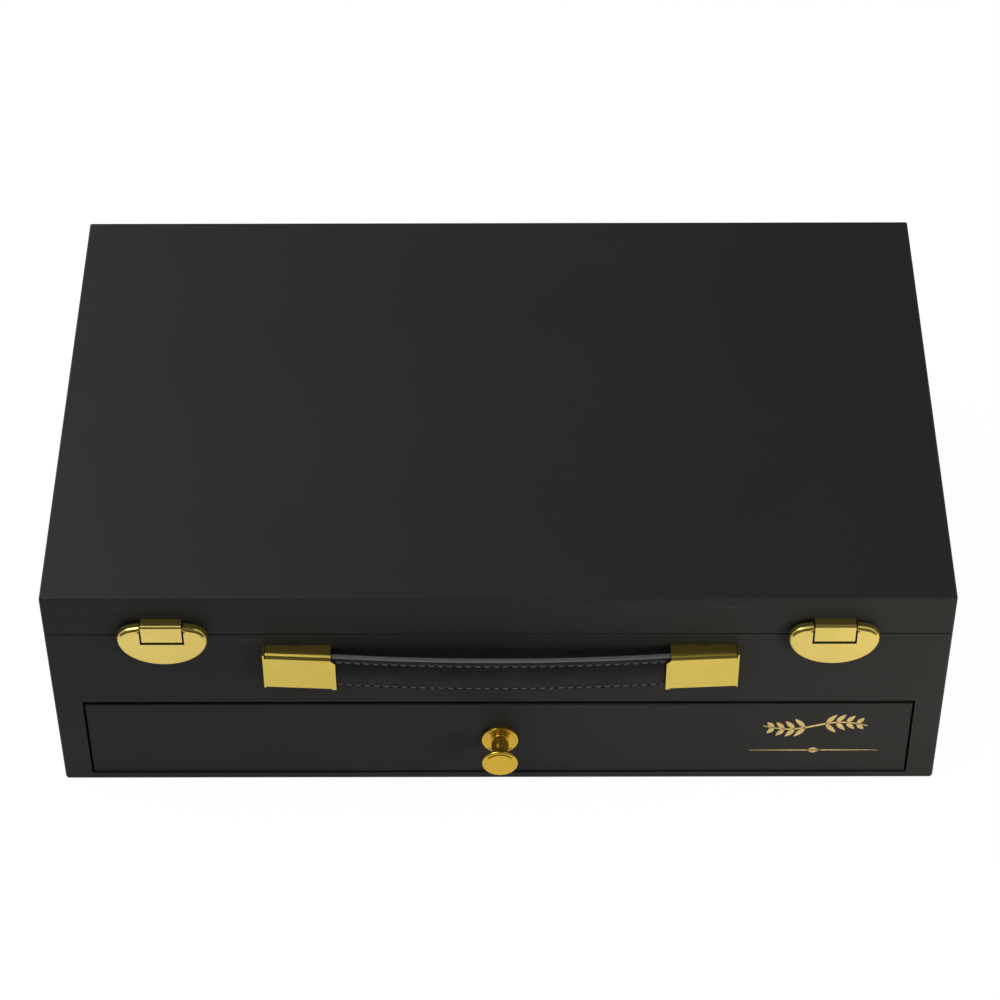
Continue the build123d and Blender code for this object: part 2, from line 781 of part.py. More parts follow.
def stay_link(x_outer, start_z):
    """A flat link from a pivot on the wall to the elbow, with round ends."""
    x_inner = x_outer - stay_link_thickness
    start = Vector(0, stay_pivot_y, start_z)
    end = Vector(0, stay_elbow_y, seam_z)
    mid = (start + end) / 2
    length = (end - start).length
    rise = degrees(asin((seam_z - start_z) / length))
    bar = Box(stay_link_thickness, length, stay_link_width)
    bar = Pos((x_inner + x_outer) / 2, mid.Y, mid.Z) * Rot(-rise, 0, 0) * bar
    ends = [rod_x(stay_link_width / 2, x_inner, x_outer, point.Y, point.Z) for point in (start, end)]
    hole_radius = stay_rivet_radius + stay_rivet_clearance
    holes = [rod_x(hole_radius, x_inner, x_outer, point.Y, point.Z) for point in (start, end)]
    return cut(join(bar, *ends), *holes)


def wall_rivet(x_outer, z):
    """A shouldered rivet in the right wall that carries one link."""
    head_x = x_outer - stay_link_thickness - stay_rivet_clearance
    shank = rod_x(stay_rivet_radius, head_x, inner_x + stay_rivet_depth, stay_pivot_y, z)
    shoulder = rod_x(stay_head_radius, x_outer + stay_rivet_clearance, inner_x, stay_pivot_y, z)
    head = rod_x(stay_head_radius, head_x - stay_head_height, head_x, stay_pivot_y, z)
    return join(shank, shoulder, head)


def elbow_rivet():
    """The rivet that joins the two links."""
    inner_head = stay_lid_x - stay_link_thickness - stay_rivet_clearance
    outer_head = stay_base_x + stay_rivet_clearance
    shank = rod_x(stay_rivet_radius, inner_head, outer_head, stay_elbow_y, seam_z)
    heads = [rod_x(stay_head_radius, inner_head - stay_head_height, inner_head, stay_elbow_y, seam_z),
             rod_x(stay_head_radius, outer_head, outer_head + stay_head_height, stay_elbow_y, seam_z)]
    return join(shank, *heads)


# Contents of the upper bay

tray_left = -inner_x + tray_clearance
tray_right = inner_x - tray_clearance
tray_front = -inner_y + tray_end_clearance
tray_back = inner_y - tray_end_clearance
tray_floor_top = deck_top + tray_floor
tube_bay_left = tray_left + tray_wall
tube_bay_right = tube_bay_left + tube_columns * tube_pitch
row_depth = (tray_back - tray_front - 2 * tray_wall - (tube_rows - 1) * tray_divider) / tube_rows
tube_length = row_depth - tube_end_clearance
tube_body_length = tube_length - tube_crimp_length - tube_shoulder_length - tube_cap_length


def tube_tray():
    """The open tray with two rows of tube beds and a free bay."""
    top = deck_top + tray_height
    tray = block(tray_left, tray_right, tray_front, tray_back, deck_top, top)
    for row in range(tube_rows):
        y0 = tray_front + tray_wall + row * (row_depth + tray_divider)
        tray = tray - block(tube_bay_left, tube_bay_right, y0, y0 + row_depth, tray_floor_top, top)
    free_left = tube_bay_right + tray_divider
    return tray - block(free_left, tray_right - tray_wall, tray_front + tray_wall, tray_back - tray_wall,
                        tray_floor_top, top)


def tube_body():
    """A paint tube along +Y: its crimped end at the origin, its body swelling to a round shoulder."""
    crimp = Pos(0, tube_crimp_length / 2, 0) * Box(tube_crimp_width, tube_crimp_length, tube_crimp_thickness)
    flat = Plane.XZ.offset(-tube_crimp_length) * Ellipse(tube_crimp_width / 2, tube_crimp_thickness / 2)
    shoulder_y = tube_crimp_length + tube_body_length
    round_end = Plane.XZ.offset(-shoulder_y) * Circle(tube_radius)
    body = loft([flat, round_end])
    shoulder_end = shoulder_y + tube_shoulder_length
    neck_start = Plane.XZ.offset(-shoulder_end) * Circle(tube_neck_radius + tube_collar_width)
    shoulder = loft([Plane.XZ.offset(-shoulder_y) * Circle(tube_radius), neck_start])
    neck = rod_y(tube_neck_radius, shoulder_end, shoulder_end + tube_neck_length, 0, 0)
    return join(crimp, body, shoulder, neck)


def tube_cap():
    """The ribbed cap on a tube's neck."""
    start = tube_crimp_length + tube_body_length + tube_shoulder_length
    cap = rod_y(tube_cap_radius, start, start + tube_cap_length, 0, 0)
    neck = rod_y(tube_neck_radius, start, start + tube_neck_length, 0, 0)
    return cut(cap, neck)


def tube_places():
    """Where each tube lies in the tray, resting on the bed at its shoulder."""
    z = tray_floor_top + tube_radius + rest_gap
    places = []
    for row in range(tube_rows):
        y = tray_front + tray_wall + row * (row_depth + tray_divider) + tube_end_clearance / 2
        for column in range(tube_columns):
            places.append(Pos(tube_bay_left + (column + 0.5) * tube_pitch, y, z))
    return places


def bottle_shape():
    """A round bottle along +Y."""
    body = rod_y(bottle_radius, 0, bottle_body_length, 0, 0)
    body = fillet(body.faces().sort_by(Axis.Y)[0].edges(), bottle_foot_radius)
    shoulder_end = bottle_body_length + bottle_shoulder_length
    shoulder = loft([Plane.XZ.offset(-bottle_body_length) * Circle(bottle_radius),
                     Plane.XZ.offset(-shoulder_end) * Circle(bottle_neck_radius)])
    neck = rod_y(bottle_neck_radius, shoulder_end, shoulder_end + bottle_neck_length, 0, 0)
    return join(body, shoulder, neck)


def bottle_cap():
    """The screw cap on a bottle."""
    start = bottle_body_length + bottle_shoulder_length
    cap = rod_y(bottle_cap_radius, start, start + bottle_cap_length, 0, 0)
    neck = rod_y(bottle_neck_radius, start, start + bottle_neck_length, 0, 0)
    return cut(cap, neck)


def wood_palette():
    """The wooden palette that lies on the tray's rim over the tubes, with its thumb hole."""
    z0 = deck_top + tray_height + rest_gap
    x0 = tray_left + palette_margin
    x1 = tube_bay_right + tray_divider
    y0 = tray_front + palette_margin
    slab = block(x0, x1, y0, -y0, z0, z0 + palette_thickness)
    slab = fillet(slab.edges().filter_by(Axis.Z), palette_corner_radius)
    thumb_x = x1 - palette_thumb_inset
    thumb_y = y0 + palette_thumb_inset
    return slab - rod_z(palette_thumb_radius, z0, z0 + palette_thickness, thumb_x, thumb_y)


# Contents of the drawer

drawer_bed = drawer_floor_z + drawer_panel_lift + drawer_panel + rest_gap
drawer_rear_y = drawer_box_y + brush_bay_depth + divider_thickness


def bottle_places():
    """Where the two bottles lie in the drawer's end bay."""
    middle = drawer_half - drawer_board - end_bay_width / 2 + divider_thickness / 2
    z = drawer_bed + bottle_radius
    return [Pos(middle + side * bottle_pitch / 2, drawer_rear_y + bottle_end_gap, z) for side in (-1, 1)]


def brush(index):
    """A flat bristle brush, lying along the drawer's front bay, as handle, ferrule and hair."""
    y = drawer_box_y + first_brush_from_front + index * brush_spacing
    x0 = -drawer_half + drawer_board + brush_from_side
    z = drawer_bed + brush_handle_radius
    handle_end = x0 + brush_handle_length
    ferrule_end = handle_end + brush_ferrule_length
    plane_tip = Plane(origin=(x0, y, z), z_dir=(1, 0, 0))
    plane_belly = Plane(origin=(handle_end - brush_ferrule_length, y, z), z_dir=(1, 0, 0))
    plane_end = Plane(origin=(handle_end, y, z), z_dir=(1, 0, 0))
    plane_hair = Plane(origin=(ferrule_end, y, z), x_dir=(0, 1, 0), z_dir=(1, 0, 0))
    plane_edge = Plane(origin=(ferrule_end + brush_hair_length, y, z), x_dir=(0, 1, 0), z_dir=(1, 0, 0))
    back = loft([plane_tip * Circle(brush_handle_tip_radius), plane_belly * Circle(brush_handle_radius)])
    front = loft([plane_belly * Circle(brush_handle_radius), plane_end * Circle(brush_ferrule_radius)])
    hair_end = Ellipse(brush_hair_width / 2, brush_hair_thickness / 2)
    ferrule = loft([plane_end * Circle(brush_ferrule_radius), plane_hair * hair_end])
    tuft = loft([plane_hair * hair_end, plane_edge * Ellipse(brush_tip_width / 2, brush_tip_thickness / 2)])
    return {"handle": back + front, "ferrule": ferrule, "hair": tuft}


def palette_knife():
    """The palette knife, lying flat behind the brushes: handle with a cranked shank and blade."""
    y = drawer_rear_y + knife_from_divider
    x0 = -drawer_half + drawer_board + brush_from_side
    z = drawer_bed + knife_handle_radius
    handle = rod_x(knife_handle_radius, x0, x0 + knife_handle_length, y, z)
    handle = fillet(handle.edges().filter_by(GeomType.CIRCLE), knife_handle_end_radius)
    shank_end = x0 + knife_handle_length + knife_shank_length
    shank = rod_x(knife_shank_radius, x0 + knife_handle_length, shank_end, y, z)
    blade_z = z - knife_shank_radius / 2
    outline = Polyline((0, -knife_blade_width / 2), (knife_blade_straight, -knife_blade_width / 2),
                       (knife_blade_length, 0), (knife_blade_straight, knife_blade_width / 2),
                       (0, knife_blade_width / 2), (-knife_blade_heel, 0), close=True)
    blade = extrude(Pos(shank_end, y, blade_z) * make_face(outline), knife_blade_thickness)
    return {"handle": handle, "blade": shank + blade}


def build():
    """Every node's solids by name."""
    nodes = {}
    hinge_places = {"left": -hinge_x, "right": hinge_x}
    latch_places = {"left": Pos(-latch_x, 0, 0), "right": Pos(latch_x, 0, 0)}
    nodes.update(base_boards())
    nodes.update(lid_boards())
    nodes.update(drawer_boards())

    base_screws = []
    lid_screws = []
    pins = []
    for side, x in hinge_places.items():
        base_screws += hinge_screws(x, True)
        lid_screws += hinge_screws(x, False)
        nodes[f"hinge_base_leaf_{side}"] = hinge_leaf(x, True)
        nodes[f"hinge_lid_leaf_{side}"] = hinge_leaf(x, False)
        pins.append(hinge_pin(x))
        nodes["base_back_board"] = nodes["base_back_board"] - hinge_seat(x, True)
        nodes["lid_back_board"] = nodes["lid_back_board"] - hinge_seat(x, False)
    nodes["hinge_pins"] = pins
    nodes["base_back_board"] = cut(nodes["base_back_board"], *base_screws)
    nodes["lid_back_board"] = cut(nodes["lid_back_board"], *lid_screws)

    bracket_fixings = []
    strike_fixings = []
    for side, place in latch_places.items():
        nodes[f"latch_lever_{side}"] = place * latch_lever()
        nodes[f"latch_bracket_{side}"] = place * latch_bracket()
        bracket_fixings += [place * screw for screw in bracket_screws()]
        strike_fixings += [place * screw for screw in strike_screws()]
    nodes["latch_pins"] = [place * latch_pin() for place in latch_places.values()]
    nodes["latch_strikes"] = [place * latch_strike() for place in latch_places.values()]
    nodes["lid_front_board"] = cut(nodes["lid_front_board"], *bracket_fixings)

    cap_fixings = [screw for one in cap_screws() for screw in handle_pair(one)]
    nodes["handle_cap_right"], nodes["handle_cap_left"] = handle_pair(handle_cap())
    nodes["handle_strap_studs"] = handle_pair(cap_stud())
    nodes["handle_strap_ends"] = handle_pair(strap_end())
    nodes["handle_strap"] = handle_strap()
    nodes["base_front_board"] = cut(nodes["base_front_board"], *strike_fixings, *cap_fixings)
    nodes["base_wood_screws"] = base_screws + strike_fixings + cap_fixings
    nodes["lid_wood_screws"] = lid_screws + bracket_fixings

    nodes["drawer_front"] = nodes["drawer_front"] - knob_screw()
    nodes["knob_rosette"] = knob_rosette()
    nodes["drawer_knob"] = drawer_knob()
    nodes["knob_screw"] = knob_screw()

    base_rivet = wall_rivet(stay_base_x, seam_z - stay_rise)
    lid_rivet = wall_rivet(stay_lid_x, seam_z + stay_rise)
    nodes["stay_base_link"] = stay_link(stay_base_x, seam_z - stay_rise)
    nodes["stay_lid_link"] = stay_link(stay_lid_x, seam_z + stay_rise)
    nodes["stay_base_rivet"] = base_rivet
    nodes["stay_lid_rivet"] = lid_rivet
    nodes["stay_elbow_rivet"] = elbow_rivet()
    nodes["base_right_board"] = nodes["base_right_board"] - base_rivet
    nodes["lid_right_board"] = nodes["lid_right_board"] - lid_rivet

    nodes["bottom_board"] = bottom_board()
    nodes["deck_board"] = deck_board()
    nodes["lid_lining"] = lid_lining()
    nodes["drawer_guide_strips"] = drawer_guide_strips()
    nodes["drawer_stop_blocks"] = drawer_stop_blocks()

    nodes["tube_tray"] = tube_tray()
    nodes["paint_tubes"] = [place * tube_body() for place in tube_places()]
    nodes["paint_tube_caps"] = [place * tube_cap() for place in tube_places()]
    nodes["oil_bottles"] = [place * bottle_shape() for place in bottle_places()]
    nodes["oil_bottle_caps"] = [place * bottle_cap() for place in bottle_places()]
    nodes["wood_palette"] = wood_palette()
    brushes = [brush(index) for index in range(brush_count)]
    for piece in ("handle", "ferrule", "hair"):
        nodes[f"brush_{piece}s" if piece != "hair" else "brush_hair"] = [one[piece] for one in brushes]
    knife = palette_knife()
    nodes["palette_knife_handle"] = knife["handle"]
    nodes["palette_knife_blade"] = knife["blade"]
    return nodes


def main():
    """Write one STEP file for each node."""
    os.makedirs("parts", exist_ok=True)
    for name, shape in build().items():
        solids = shape if isinstance(shape, list) else [shape]
        pieces = [solid for item in solids for solid in item.solids()]
        export_step(pieces[0] if len(pieces) == 1 else Compound(pieces), f"parts/{name}.step")


if __name__ == "__main__":
    main()
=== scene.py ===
import math
import random

import bmesh
import bpy
from mathutils import Matrix, Vector


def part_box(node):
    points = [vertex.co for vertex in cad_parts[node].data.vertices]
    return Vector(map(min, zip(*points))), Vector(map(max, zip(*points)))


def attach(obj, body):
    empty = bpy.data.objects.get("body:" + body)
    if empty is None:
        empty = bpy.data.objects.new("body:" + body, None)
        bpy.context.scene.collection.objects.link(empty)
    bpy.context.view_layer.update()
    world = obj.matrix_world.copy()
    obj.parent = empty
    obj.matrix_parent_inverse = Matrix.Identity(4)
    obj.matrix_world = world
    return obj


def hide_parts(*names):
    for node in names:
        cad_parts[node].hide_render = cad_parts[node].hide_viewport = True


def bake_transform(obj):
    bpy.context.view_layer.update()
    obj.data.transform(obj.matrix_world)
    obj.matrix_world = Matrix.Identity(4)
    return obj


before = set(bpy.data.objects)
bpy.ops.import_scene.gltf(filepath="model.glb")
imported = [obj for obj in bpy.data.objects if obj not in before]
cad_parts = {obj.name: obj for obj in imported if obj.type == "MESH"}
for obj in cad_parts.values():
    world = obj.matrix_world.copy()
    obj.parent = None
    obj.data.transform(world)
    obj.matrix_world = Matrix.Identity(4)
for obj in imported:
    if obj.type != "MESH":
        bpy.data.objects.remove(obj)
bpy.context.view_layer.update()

# The looks of the paint box's pieces, the soft pieces that stand in for plain CAD solids, small detail
# such as stitches, ribs and labels, and the studio. Lengths are in metres, and MM is one millimetre.

MM = 0.001
WHITE = (1, 1, 1, 1)
random.seed(7)


# Camera, fitted to the case's corners in the photograph

CAMERA_PLACE = Vector((0.0050, -1.1185, 1.2020))
CAMERA_PITCH = math.radians(45.603)
CAMERA_YAW = math.radians(0.225)
CAMERA_ROLL = math.radians(-0.271)
FOCAL_WIDTHS = 3.191
SENSOR_MM = 36.0
VIEW_DEPTH = 20.0


def add_camera():
    """The photograph's camera: above the front, looking down at the case."""
    turn = Matrix.Rotation(CAMERA_YAW, 3, "Z")
    forward = turn @ Vector((0, math.cos(CAMERA_PITCH), -math.sin(CAMERA_PITCH)))
    right = turn @ Vector((1, 0, 0))
    up = turn @ Vector((0, math.sin(CAMERA_PITCH), math.cos(CAMERA_PITCH)))
    level_right = math.cos(CAMERA_ROLL) * right + math.sin(CAMERA_ROLL) * up
    level_up = math.cos(CAMERA_ROLL) * up - math.sin(CAMERA_ROLL) * right
    lens = bpy.data.cameras.new("camera")
    lens.sensor_width = SENSOR_MM
    lens.lens = FOCAL_WIDTHS * SENSOR_MM
    lens.clip_end = VIEW_DEPTH
    camera = bpy.data.objects.new("camera", lens)
    bpy.context.scene.collection.objects.link(camera)
    axes = Matrix((level_right, level_up, -forward)).transposed()
    camera.matrix_world = Matrix.Translation(CAMERA_PLACE) @ axes.to_4x4()
    bpy.context.scene.camera = camera


# Materials

MIX_COLOURS = (6, 7)
MIX_COLOUR_OUT = 2
BEVEL_SAMPLES = 6


class Nodes:
    """A shader node tree that is built by calls."""

    def __init__(self, tree):
        self.tree = tree

    def node(self, kind, inputs=None, **settings):
        """A node with its settings, its fixed inputs and its linked inputs."""
        made = self.tree.nodes.new(kind)
        for key, value in settings.items():
            setattr(made, key, value)
        for key, value in (inputs or {}).items():
            self.feed(made.inputs[key], value)
        return made

    def feed(self, socket, value):
        """Links an output to a socket, or sets the socket's own value."""
        if isinstance(value, bpy.types.NodeSocket):
            self.tree.links.new(value, socket)
        else:
            socket.default_value = value

    def maths(self, operation, first, second):
        """A maths node on two values."""
        return self.node("ShaderNodeMath", {0: first, 1: second}, operation=operation).outputs[0]


class Look(Nodes):
    """One node material, built round a Principled shader."""

    def __init__(self, name):
        self.material = bpy.data.materials.new(name)
        self.material.use_nodes = True
        super().__init__(self.material.node_tree)
        self.shader = self.tree.nodes["Principled BSDF"]
        self.place = self.node("ShaderNodeTexCoord").outputs["Object"]

    def set(self, **values):
        """Sets or links the shader's sockets, with _ for a space in a name."""
        for key, value in values.items():
            self.feed(self.shader.inputs[key.replace("_", " ")], value)

    def stretched(self, x, y, z):
        """The object's own coordinates, stretched by three scales."""
        return self.node("ShaderNodeMapping", {"Vector": self.place, "Scale": (x, y, z)}).outputs["Vector"]

    def noise(self, scale, detail=3.0, roughness=0.55, place=None, distortion=0.0):
        """Noise from 0 to 1, at a scale per metre."""
        made = self.node("ShaderNodeTexNoise", {"Vector": place or self.place, "Scale": scale, "Detail": detail,
                                                "Roughness": roughness, "Distortion": distortion})
        return made.outputs["Fac"]

    def between(self, factor, low, high, start=0.3, end=0.7):
        """A value or colour that goes from low to high as a factor goes from start to end."""
        made = self.node("ShaderNodeValToRGB", {"Fac": factor})
        for element, position, value in zip(made.color_ramp.elements, (start, end), (low, high)):
            colour = value if isinstance(value, tuple) else (value, value, value)
            element.position = position
            element.color = (*colour, 1)
        return made.outputs["Color"]

    def mix(self, factor, first, second):
        """Two colours mixed."""
        made = self.node("ShaderNodeMix", {"Factor": factor}, data_type="RGBA")
        for index, value in zip(MIX_COLOURS, (first, second)):
            self.feed(made.inputs[index], (*value, 1) if isinstance(value, tuple) else value)
        return made.outputs[MIX_COLOUR_OUT]

    def bump(self, height, distance, strength=1.0):
        """A bump from a height, at a depth in metres."""
        inputs = {"Height": height, "Distance": distance, "Strength": strength}
        return self.node("ShaderNodeBump", inputs).outputs["Normal"]

    def edges(self, radius):
        """1 along the piece's edges and 0 on its faces."""
        bevel = self.node("ShaderNodeBevel", {"Radius": radius}, samples=BEVEL_SAMPLES)
        flat = self.node("ShaderNodeNewGeometry").outputs["Normal"]
        dot = self.node("ShaderNodeVectorMath", {0: bevel.outputs["Normal"], 1: flat}, operation="DOT_PRODUCT")
        return self.maths("SUBTRACT", 1.0, dot.outputs["Value"])


def scaled(tone, share):
    """A colour made darker or lighter, up to full white."""
    return tuple(min(1.0, value * share) for value in tone)


def lacquer():
    """Satin black lacquer: faint cloudiness, fine orange peel, and edges made a little paler, partly rubbed wear
    and partly a painted highlight.
    """
    look = Look("black_lacquer")
    base = look.between(look.noise(5), (0.0077, 0.0078, 0.0075), (0.0091, 0.0092, 0.0089))
    patches = look.between(look.noise(60, 5), 0.3, 1.0, start=0.4)
    # The paler edges are partly rubbed wear and partly a painted highlight along the edges.
    edge_wear_and_highlight = look.maths("MINIMUM", look.maths("MULTIPLY", look.edges(0.6 * MM), patches), 0.5)
    look.set(Base_Color=look.mix(edge_wear_and_highlight, base, (0.06, 0.06, 0.058)),
             Roughness=look.between(look.noise(25, 5), 0.50, 0.55),
             Normal=look.bump(look.noise(900, 2), 0.02 * MM, 0.4), IOR=1.18)
    return look.material


def felt():
    """Black felt."""
    look = Look("felt")
    fibres = look.noise(2500, 4)
    look.set(Base_Color=look.between(fibres, (0.008, 0.008, 0.009), (0.035, 0.035, 0.038)), Roughness=0.95,
             Normal=look.bump(fibres, 0.3 * MM), Sheen_Weight=0.3)
    return look.material


def wood(name, dark, light, along, rough=0.5, coat=0.0):
    """Plain wood with its grain along one axis."""
    look = Look(name)
    scales = [1.0, 1.0, 1.0]
    scales["xyz".index(along)] = 0.06
    place = look.stretched(*scales)
    warp = look.noise(14, place=place)
    grain = look.noise(90, 6, 0.6, place=place, distortion=1.2)
    pores = look.noise(1400, place=place)
    streaks = look.maths("ADD", look.maths("MULTIPLY", warp, 0.5), look.maths("MULTIPLY", grain, 0.5))
    tone = look.between(streaks, dark, light, 0.35, 0.65)
    tone = look.mix(look.between(pores, 0.0, 0.35, 0.55, 0.75), tone, dark)
    look.set(Base_Color=tone, Roughness=look.between(grain, rough - 0.07, rough + 0.07),
             Normal=look.bump(pores, 0.08 * MM), Coat_Weight=coat)
    return look.material


def brass(name, tone, rough=0.15):
    """Bright brass plating with fine rubbing marks and slightly duller patches."""
    look = Look(name)
    patch = look.noise(60)
    base = look.mix(look.between(patch, 0.0, 1.0, 0.4, 0.75), tone, scaled(tone, 0.94))
    lines = look.noise(900, place=look.stretched(1.0, 1.0, 0.12))
    rough_map = look.maths("ADD", look.between(patch, rough, rough + 0.04, end=0.8),
                           look.maths("MULTIPLY", lines, 0.05))
    look.set(Base_Color=base, Metallic=0.94, Roughness=rough_map, Normal=look.bump(lines, 0.015 * MM, 0.35))
    return look.material


def steel(name, tone, rough):
    """Plain metal with fine grinding marks."""
    look = Look(name)
    lines = look.noise(1500, place=look.stretched(0.05, 1, 1))
    look.set(Base_Color=look.between(lines, scaled(tone, 0.85), tone), Metallic=1.0,
             Roughness=look.between(lines, rough, rough + 0.1), Normal=look.bump(lines, 0.02 * MM, 0.5))
    return look.material


def leather():
    """Smooth black leather with a fine pebbled grain."""
    look = Look("leather")
    cells = look.node("ShaderNodeTexVoronoi", {"Vector": look.place, "Scale": 1500.0}, feature="F1")
    wrinkle = look.noise(260, 4)
    height = look.maths("ADD", look.maths("MULTIPLY", cells.outputs["Distance"], -0.6),
                        look.maths("MULTIPLY", wrinkle, 0.8))
    look.set(Base_Color=look.between(look.noise(70, 4), (0.0035, 0.0035, 0.0038), (0.006, 0.006, 0.0064)),
             Roughness=look.between(wrinkle, 0.44, 0.54), Normal=look.bump(height, 0.06 * MM, 0.5), IOR=1.17)
    return look.material


def cut_leather():
    """The strap's cut edge: rubbed grey, with its fibres along the strap."""
    look = Look("cut_leather")
    fibres = look.noise(1800, 4, place=look.stretched(0.15, 1, 1))
    look.set(Base_Color=look.between(fibres, (0.034, 0.036, 0.038), (0.062, 0.065, 0.068)), Roughness=0.7,
             Normal=look.bump(fibres, 0.1 * MM, 0.5))
    return look.material


def thread():
    """Waxed grey thread, twisted along the strap."""
    look = Look("thread")
    twist = look.node("ShaderNodeTexWave", {"Vector": look.place, "Scale": 420.0, "Distortion": 0.6},
                      wave_type="BANDS", bands_direction="DIAGONAL").outputs["Fac"]
    look.set(Base_Color=look.between(twist, (0.022, 0.022, 0.022), (0.050, 0.050, 0.049), 0.2, 0.8),
             Roughness=look.between(twist, 0.5, 0.7, 0.2, 0.8), Normal=look.bump(twist, 0.08 * MM, 0.5))
    return look.material


def printed_paper(name):
    """Printed paper that takes its colours from the piece's own colour attribute."""
    look = Look(name)
    ink = look.node("ShaderNodeAttribute", attribute_name="ink").outputs["Color"]
    fibres = look.noise(1600, 4)
    look.set(Base_Color=look.mix(look.between(fibres, 0.0, 0.2, start=0.35), ink, (0.30, 0.27, 0.22)),
             Roughness=look.between(fibres, 0.45, 0.57), Normal=look.bump(fibres, 0.02 * MM, 0.4))
    return look.material


def gold_ink():
    """Gold foil stamped on the lacquer."""
    look = Look("gold_ink")
    speck = look.noise(900, 4)
    look.set(Base_Color=look.between(speck, (0.36, 0.26, 0.09), (0.58, 0.43, 0.17)), Metallic=0.8,
             Roughness=look.between(speck, 0.35, 0.5), Normal=look.bump(speck, 0.01 * MM, 0.4))
    return look.material


def plain(name, tone, rough, metallic=0.0, spread=0.15):
    """A plain material with a little variation of colour and gloss."""
    look = Look(name)
    cloud = look.noise(125, 4)
    look.set(Base_Color=look.between(cloud, scaled(tone, 1 - spread), scaled(tone, 1 + spread)), Metallic=metallic,
             Roughness=look.between(cloud, rough - 0.06, rough + 0.06),
             Normal=look.bump(look.noise(1500), 0.02 * MM, 0.6))
    return look.material


def oil_glass():
    """Clear bottle glass, filled with amber oil."""
    look = Look("bottle_glass")
    look.set(Base_Color=look.between(look.noise(40, 2), (0.86, 0.72, 0.36), (0.92, 0.80, 0.46)),
             Roughness=look.between(look.noise(90), 0.02, 0.07), Transmission_Weight=0.75, IOR=1.47)
    return look.material


def dress(material, *nodes):
    """Gives carried-over CAD nodes their material."""
    for node in nodes:
        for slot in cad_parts[node].material_slots:
            slot.link = "OBJECT"
            slot.material = material


def dress_nodes():
    """Materials for the CAD nodes that stay, and the ribs on their caps."""
    pine_dark, pine_light = (0.36, 0.21, 0.10), (0.58, 0.39, 0.21)
    dress(lacquer(), "base_front_board", "base_back_board", "base_left_board", "base_right_board",
          "bottom_board", "deck_board", "lid_top_panel", "lid_front_board", "lid_back_board",
          "lid_left_board", "lid_right_board", "drawer_front")
    dress(wood("pine_x", pine_dark, pine_light, "x"), "drawer_back", "drawer_floor", "drawer_long_divider",
          "tube_tray")
    dress(wood("pine_y", pine_dark, pine_light, "y"), "drawer_left_side", "drawer_right_side",
          "drawer_cross_divider", "drawer_guide_strips", "drawer_stop_blocks")
    dress(brass("brass", (0.585, 0.435, 0.082)), "hinge_base_leaf_left", "hinge_base_leaf_right",
          "hinge_lid_leaf_left", "hinge_lid_leaf_right", "hinge_pins", "latch_pins", "latch_strikes",
          "handle_strap_studs", "stay_base_link", "stay_lid_link", "stay_base_rivet", "stay_lid_rivet",
          "stay_elbow_rivet")
    dress(brass("latch_brass", (0.555, 0.431, 0.112)), "latch_lever_left", "latch_lever_right",
          "latch_bracket_left", "latch_bracket_right")
    dress(brass("cap_brass", (0.515, 0.390, 0.076)), "handle_cap_left", "handle_cap_right")
    dress(brass("knob_brass", (0.54, 0.345, 0.034), 0.10), "knob_rosette", "drawer_knob")
    dress(steel("screw_brass", (0.66, 0.50, 0.22), 0.3), "base_wood_screws", "lid_wood_screws", "knob_screw")
    dress(plain("tube_paint", (0.72, 0.71, 0.68), 0.4), "paint_tubes")
    black_plastic = plain("cap_plastic", (0.015, 0.015, 0.015), 0.4)
    dress(black_plastic, "paint_tube_caps", "oil_bottle_caps")
    add_tube_cap_ribs(black_plastic)
    add_bottle_cap_ribs(black_plastic)
    dress(oil_glass(), "oil_bottles")
    dress(wood("palette_wood", (0.20, 0.075, 0.03), (0.42, 0.19, 0.08), "x", 0.35, coat=0.4), "wood_palette")
    dress(plain("brush_lacquer", (0.25, 0.03, 0.02), 0.25), "brush_handles")
    dress(plain("ferrule", (0.75, 0.75, 0.74), 0.25, metallic=1.0), "brush_ferrules")
    dress(wood("knife_wood", (0.10, 0.04, 0.02), (0.26, 0.12, 0.06), "x", 0.35), "palette_knife_handle")
    dress(steel("steel", (0.62, 0.61, 0.58), 0.28), "palette_knife_blade")


# Pieces that take the place of soft CAD solids, or lie on the CAD pieces

class Shape:
    """The vertices and faces of one piece, gathered part by part."""

    def __init__(self):
        self.vertices, self.faces = [], []

    def add_skin(self, rings, closed_ends=True):
        """Adds a tube through rings of points, all with the same number of points."""
        count = len(rings[0])
        start = len(self.vertices)
        self.vertices += [tuple(point) for ring in rings for point in ring]
        for row in range(len(rings) - 1):
            for k in range(count):
                a = start + row * count + k
                b = start + row * count + (k + 1) % count
                self.faces.append((a, b, b + count, a + count))
        if closed_ends:
            self.faces.append(tuple(range(start, start + count)))
            self.faces.append(tuple(range(len(self.vertices) - count, len(self.vertices))))


def new_piece(name, shape, body, materials, face_materials=None, smooth=True):
    """A mesh piece with its materials, which rides on a body where one is given."""
    mesh = bpy.data.meshes.new(name)
    mesh.from_pydata(shape.vertices, [], shape.faces)
    for material in materials:
        mesh.materials.append(material)
    for index, polygon in enumerate(mesh.polygons):
        polygon.use_smooth = smooth
        if face_materials:
            polygon.material_index = face_materials[index]
    outward = bmesh.new()
    outward.from_mesh(mesh)
    bmesh.ops.recalc_face_normals(outward, faces=outward.faces)
    outward.to_mesh(mesh)
    outward.free()
    piece = bpy.data.objects.new(name, mesh)
    bpy.context.scene.collection.objects.link(piece)
    if body:
        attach(piece, body)
    return piece


# Strap, bowed between the caps and straight inside them

